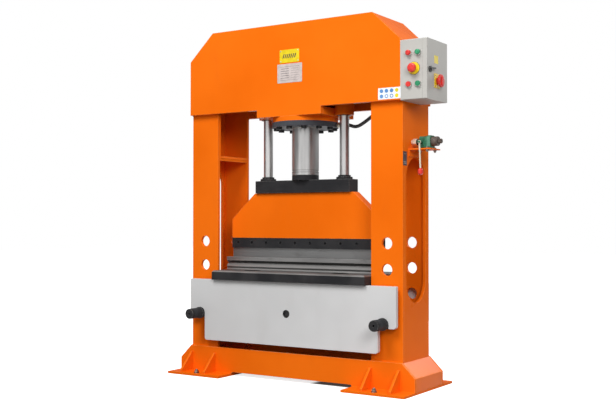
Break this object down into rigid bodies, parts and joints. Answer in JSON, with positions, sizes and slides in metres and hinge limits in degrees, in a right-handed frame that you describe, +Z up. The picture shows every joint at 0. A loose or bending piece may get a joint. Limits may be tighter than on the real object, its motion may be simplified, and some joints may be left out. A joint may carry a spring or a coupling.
{
  "type": "hydraulic frame press",
  "caption": "Floor-standing hydraulic frame press: an upright cylinder drives a guided beam with a straight punch towards a multi-V die on a table hung on cross pins.",
  "frame": {"origin": "centre of the four anchor holes, on the floor under the middle of the frame", "axes": "+Z up, front of the press towards -Y, control box on the +X side"},
  "size_m": [1.555, 0.5513, 1.866],
  "materials": {
    "frame_paint": "semi-gloss",
    "table_paint": "semi-gloss",
    "box_paint": "fine texture",
    "black_steel": "satin",
    "bare_steel": "ground",
    "hard_chrome": "polished",
    "bronze": "turned",
    "zinc_steel": "zinc plated",
    "hose_rubber": "matt",
    "yellow_plastic": "satin",
    "red_plastic": "gloss",
    "green_plastic": "gloss",
    "black_plastic": "satin",
    "valve_paint": "satin",
    "valve_cap_paint": "satin",
    "tank_paint": "semi-gloss"
  },
  "bodies": {
    "frame": {"crown_front_plate": "frame_paint", "crown_back_plate": "frame_paint", "crown_cover": "frame_paint", "crown_seat_block": "frame_paint", "seat_ring": "frame_paint", "left_column_front_plate": "frame_paint", "left_column_back_plate": "frame_paint", "left_column_side_plate": "frame_paint", "right_column_front_plate": "frame_paint", "right_column_back_plate": "frame_paint", "right_column_side_plate": "frame_paint", "column_shelves": "frame_paint", "base_front_plate": "frame_paint", "base_back_plate": "frame_paint", "base_end_covers": "frame_paint", "foot_plates": "frame_paint", "foot_ribs": "frame_paint", "cylinder_barrel": "black_steel", "cylinder_flange": "black_steel", "flange_bolts": "black_steel", "rod_gland": "bronze", "guide_tubes": "frame_paint", "guide_bushes": "bronze", "multi_v_die": "bare_steel", "bolster": "black_steel", "table_front_plate": "table_paint", "table_back_plate": "table_paint", "table_tie_tubes": "table_paint", "table_pins": "black_steel", "control_box": "box_paint", "button_bezels": "zinc_steel", "red_lamp": "red_plastic", "green_lamp": "green_plastic", "estop_ring": "yellow_plastic", "valve_bracket": "frame_paint", "valve_body": "valve_paint", "valve_cap": "valve_cap_paint", "hose_fittings": "zinc_steel", "pressure_hose": "hose_rubber", "oil_tank": "tank_paint", "pump_motor": "tank_paint"},
    "ram": {"piston_rod": "hard_chrome", "rod_collar": "black_steel", "platen": "black_steel", "guide_rods": "hard_chrome", "guide_collars": "black_steel", "ram_beam": "frame_paint", "punch_holder": "black_steel", "holder_screws": "black_steel", "punch": "bare_steel"},
    "door": {"box_door": "box_paint", "switch_plate": "yellow_plastic"},
    "latch": {"latch_handle": "black_plastic"},
    "main_switch": {"main_switch_knob": "red_plastic"},
    "estop": {"estop_head": "red_plastic"},
    "stop": {"stop_button": "red_plastic"},
    "start": {"start_button": "green_plastic"},
    "lever": {"valve_lever": "zinc_steel", "valve_knob": "red_plastic"}
  },
  "joints": [
    {"name": "ram_slide", "type": "slide", "parent": "frame", "child": "ram", "axis": [0, 0, 1], "range_m": [0, 0.22]},
    {"name": "door_hinge", "type": "hinge", "parent": "frame", "child": "door", "pos_m": [0.773, 0.0653, 1.564], "axis": [0, 0, 1], "range_deg": [0, 110]},
    {"name": "latch_turn", "type": "hinge", "parent": "door", "child": "latch", "pos_m": [0.79, -0.139, 1.562], "axis": [1, 0, 0], "range_deg": [0, 90]},
    {"name": "main_switch_turn", "type": "hinge", "parent": "door", "child": "main_switch", "pos_m": [0.79, -0.0585, 1.5125], "axis": [1, 0, 0], "range_deg": [0, 90]},
    {"name": "estop_press", "type": "slide", "parent": "frame", "child": "estop", "axis": [0, 1, 0], "range_m": [0, 0.005]},
    {"name": "stop_press", "type": "slide", "parent": "frame", "child": "stop", "axis": [0, 1, 0], "range_m": [0, 0.004], "stiffness_N_per_m": 1000, "springref_m": -0.002},
    {"name": "start_press", "type": "slide", "parent": "frame", "child": "start", "axis": [0, 1, 0], "range_m": [0, 0.004], "stiffness_N_per_m": 1000, "springref_m": -0.002},
    {"name": "valve_lever_swing", "type": "hinge", "parent": "frame", "child": "lever", "pos_m": [0.719, -0.091, 1.22], "axis": [0, 1, 0], "range_deg": [-12, 12]}
  ]
}
